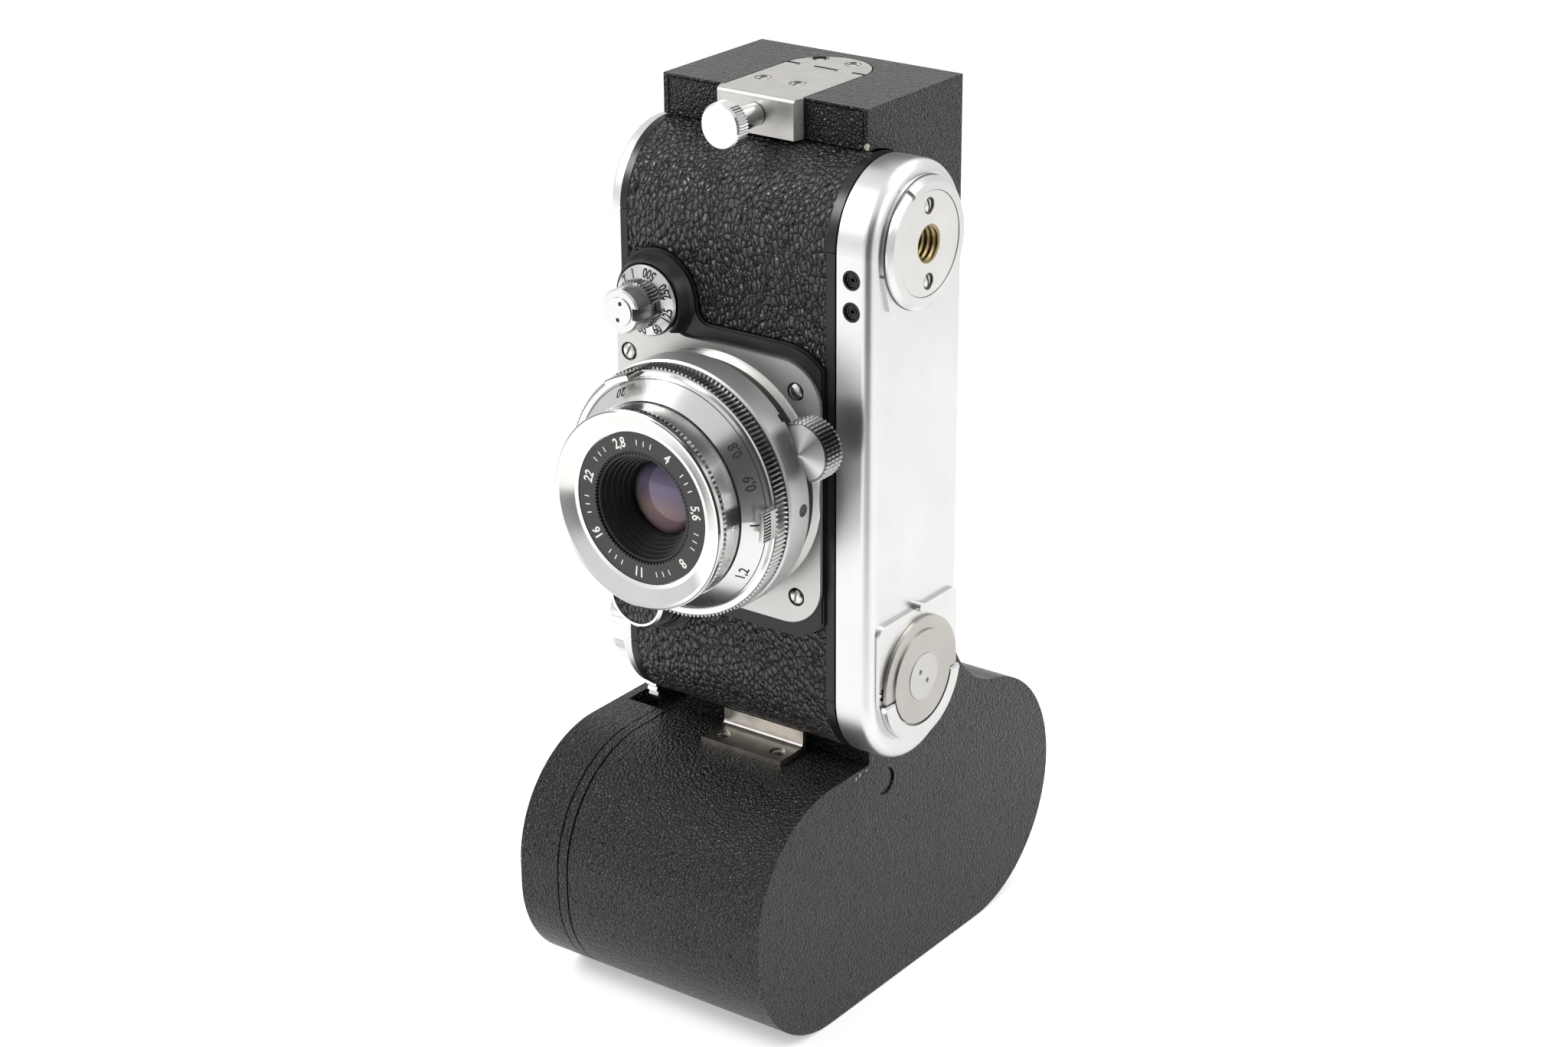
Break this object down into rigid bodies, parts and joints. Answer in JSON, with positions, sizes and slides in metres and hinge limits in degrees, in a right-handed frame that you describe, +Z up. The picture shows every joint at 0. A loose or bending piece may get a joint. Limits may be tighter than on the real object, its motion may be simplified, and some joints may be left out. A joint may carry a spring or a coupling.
{
  "type": "miniature camera",
  "caption": "Spring-wound miniature camera with a locked lens, standing on end on a bulk-film magazine back with a hasped roller box.",
  "frame": {"origin": "on the magazine's flat base, below the lens axis and midway through the body's thickness", "axes": "+Z up along the standing camera, -Y towards the lens's front, +X towards the camera's base plate"},
  "size_m": [0.0964, 0.1419, 0.2411],
  "materials": {
    "black_paint": "crackle-painted black metal",
    "black_smooth": "smooth satin black enamel",
    "leather": "coarse grained black leather",
    "satin_chrome": "satin chrome, finely blasted",
    "bright_chrome": "bright turned chrome",
    "grey_steel": "dull turned steel",
    "brass": "worn brass",
    "inner_aluminium": "plain turned aluminium",
    "film": "wound film",
    "glass": "coated optical glass"
  },
  "bodies": {
    "camera": {"magazine_housing": "black_paint", "pressure_plate": "inner_aluminium", "box_cover": "black_paint", "box_front": "black_paint", "hasp_leaf": "bright_chrome", "hasp_pin": "bright_chrome", "hasp_leaf_screws": "bright_chrome", "heel_bracket": "grey_steel", "heel_screws": "bright_chrome", "body_casting": "black_smooth", "body_leather": "leather", "shutter_platform": "black_smooth", "front_plate": "satin_chrome", "front_plate_screws": "bright_chrome", "speed_dial": "bright_chrome", "port_collar": "black_smooth", "port_cap": "bright_chrome", "port_inlay": "leather", "bottom_plate": "satin_chrome", "tripod_base": "satin_chrome", "tripod_ring": "grey_steel", "tripod_disc": "grey_steel", "tripod_bush": "brass", "tripod_screws": "bright_chrome", "lock_plate": "bright_chrome", "lock_pins": "bright_chrome", "sync_sockets": "black_smooth", "top_plate": "satin_chrome", "lens_flange": "black_smooth", "lens_barrel": "satin_chrome", "name_ring": "black_smooth", "baffle": "black_smooth", "lens_glass": "glass"},
    "lid": {"magazine_lid": "black_paint"},
    "lid_lock": {"lid_lock": "inner_aluminium"},
    "supply": {"supply_spool": "inner_aluminium", "supply_film": "film"},
    "takeup": {"takeup_spool": "inner_aluminium", "takeup_film": "film"},
    "roller": {"top_roller": "inner_aluminium"},
    "hasp": {"hasp_flap": "bright_chrome", "hasp_flap_screws": "bright_chrome"},
    "screw_foot": {"thumb_screw_foot": "brass"},
    "thumb_screw": {"thumb_screw": "bright_chrome"},
    "coupling": {"coupling_gear": "grey_steel"},
    "speed": {"speed_knob": "bright_chrome", "speed_cap": "bright_chrome"},
    "key_hub": {"lock_hub": "grey_steel", "lock_cap": "bright_chrome"},
    "key": {"lock_key": "bright_chrome"},
    "winder": {"winding_knob": "bright_chrome", "spring_drum": "inner_aluminium"},
    "release": {"release_button": "bright_chrome"},
    "sprocket": {"film_sprocket": "inner_aluminium"},
    "shutter": {"shutter_disc": "black_smooth"},
    "lens_lock": {"lock_ring": "satin_chrome", "lock_knob": "bright_chrome"},
    "focus": {"focus_ring": "bright_chrome", "distance_cone": "satin_chrome"},
    "aperture": {"aperture_ring": "bright_chrome"}
  },
  "joints": [
    {"name": "winding_turn", "type": "hinge", "parent": "camera", "child": "winder", "pos_m": [-0.037, 0, 0.095], "axis": [1, 0, 0], "continuous": true},
    {"name": "coupling_turn", "type": "hinge", "parent": "camera", "child": "coupling", "pos_m": [-0.038, 0.0044, 0.073], "axis": [1, 0, 0], "continuous": true},
    {"name": "takeup_turn", "type": "hinge", "parent": "camera", "child": "takeup", "pos_m": [0, -0.0164, 0.034], "axis": [1, 0, 0], "continuous": true},
    {"name": "supply_turn", "type": "hinge", "parent": "camera", "child": "supply", "pos_m": [0, 0.0528, 0.0352], "axis": [1, 0, 0], "continuous": true},
    {"name": "roller_turn", "type": "hinge", "parent": "camera", "child": "roller", "pos_m": [0, 0.0287, 0.2192], "axis": [1, 0, 0], "continuous": true},
    {"name": "sprocket_turn", "type": "hinge", "parent": "camera", "child": "sprocket", "pos_m": [0, 0.0102, 0.116], "axis": [1, 0, 0], "continuous": true},
    {"name": "shutter_turn", "type": "hinge", "parent": "camera", "child": "shutter", "pos_m": [0, 0.0076, 0.166], "axis": [0, 1, 0], "continuous": true},
    {"name": "hasp_lift", "type": "hinge", "parent": "camera", "child": "hasp", "pos_m": [0, 0.0238, 0.23965], "axis": [-1, 0, 0], "range_deg": [0, 88]},
    {"name": "thumb_slide", "type": "slide", "parent": "hasp", "child": "screw_foot", "axis": [0, -1, 0], "range_m": [0, 0.002]},
    {"name": "thumb_turn", "type": "hinge", "parent": "screw_foot", "child": "thumb_screw", "pos_m": [0, -0.012, 0.2353], "axis": [0, -1, 0], "range_deg": [0, 1030]},
    {"name": "lid_slide", "type": "slide", "parent": "camera", "child": "lid", "axis": [-1, 0, 0], "range_m": [0, 0.02]},
    {"name": "lid_lock_turn", "type": "hinge", "parent": "lid", "child": "lid_lock", "pos_m": [-0.0466, 0.0122, 0.034], "axis": [-1, 0, 0], "range_deg": [0, 90]},
    {"name": "speed_turn", "type": "hinge", "parent": "camera", "child": "speed", "pos_m": [-0.0185, -0.03, 0.1903], "axis": [0, -1, 0], "range_deg": [-150, 150]},
    {"name": "lens_lock_turn", "type": "hinge", "parent": "camera", "child": "lens_lock", "pos_m": [0, -0.0316, 0.149], "axis": [0, 1, 0], "range_deg": [0, 50]},
    {"name": "focus_turn", "type": "hinge", "parent": "camera", "child": "focus", "pos_m": [0, -0.038, 0.149], "axis": [0, 1, 0], "range_deg": [-20, 160]},
    {"name": "aperture_turn", "type": "hinge", "parent": "camera", "child": "aperture", "pos_m": [0, -0.0524, 0.149], "axis": [0, 1, 0], "range_deg": [-30, 60]},
    {"name": "key_turn", "type": "hinge", "parent": "camera", "child": "key_hub", "pos_m": [0.0455, 0, 0.0978], "axis": [1, 0, 0], "range_deg": [0, 180]},
    {"name": "key_lift", "type": "hinge", "parent": "key_hub", "child": "key", "pos_m": [0.0463, 0, 0.0944], "axis": [0, -1, 0], "range_deg": [0, 88]},
    {"name": "release_press", "type": "slide", "parent": "camera", "child": "release", "axis": [1, 0, 0], "range_m": [0, 0.0024], "stiffness_N_per_m": 900, "springref_m": -0.001}
  ],
  "couplings": [
    {"joint": "coupling_turn", "follows": "winding_turn", "ratio": -2.4167},
    {"joint": "takeup_turn", "follows": "winding_turn", "ratio": 1.6},
    {"joint": "supply_turn", "follows": "winding_turn", "ratio": 0.896},
    {"joint": "roller_turn", "follows": "winding_turn", "ratio": -3.7333},
    {"joint": "sprocket_turn", "follows": "winding_turn", "ratio": 4},
    {"joint": "shutter_turn", "follows": "winding_turn", "ratio": 4},
    {"joint": "thumb_turn", "follows": "thumb_slide", "rad_per_m": 8976}
  ]
}
